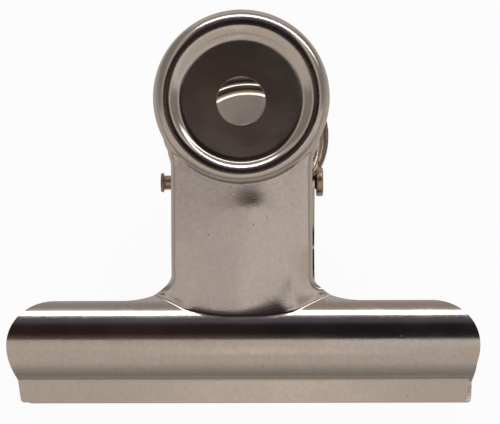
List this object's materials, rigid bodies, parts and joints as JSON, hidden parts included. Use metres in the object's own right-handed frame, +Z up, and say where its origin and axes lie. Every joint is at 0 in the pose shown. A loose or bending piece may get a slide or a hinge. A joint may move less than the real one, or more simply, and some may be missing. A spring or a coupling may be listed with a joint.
{
  "type": "file clip",
  "caption": "Spring clip of bright pressed steel: a wide rolled jaw bar with lips, a shank with ears on a headed pin, and round dished thumb discs with a hang hole.",
  "frame": {"origin": "middle of the bounding box's base, on the surface that the clip lies on", "axes": "+X along the jaw bar, -Y towards the lips, +Y towards the thumb discs, +Z up from the rear plate to the front plate"},
  "size_m": [0.0768, 0.0634, 0.0311],
  "materials": {
    "plate_steel": "polished nickel plate on steel, fine brushing in the dish",
    "pin_steel": "plain, slightly brown",
    "spring_steel": "drawn wire"
  },
  "bodies": {
    "rear_plate": {"rear_jaw_plate": "plate_steel", "torsion_spring": "spring_steel"},
    "front_plate": {"front_jaw_plate": "plate_steel"},
    "pin": {"pivot_pin": "pin_steel"}
  },
  "joints": [
    {"name": "jaw_hinge", "type": "hinge", "parent": "rear_plate", "child": "front_plate", "pos_m": [0, 0.00466, 0.01149], "axis": [-1, 0, 0], "range_deg": [0, 52], "stiffness_Nm_per_rad": 0.33, "springref_deg": -53.86, "deforming": ["torsion_spring"]},
    {"name": "pin_float", "type": "slide", "parent": "rear_plate", "child": "pin", "axis": [1, 0, 0], "range_m": [-0.0003, 0.0017]}
  ]
}
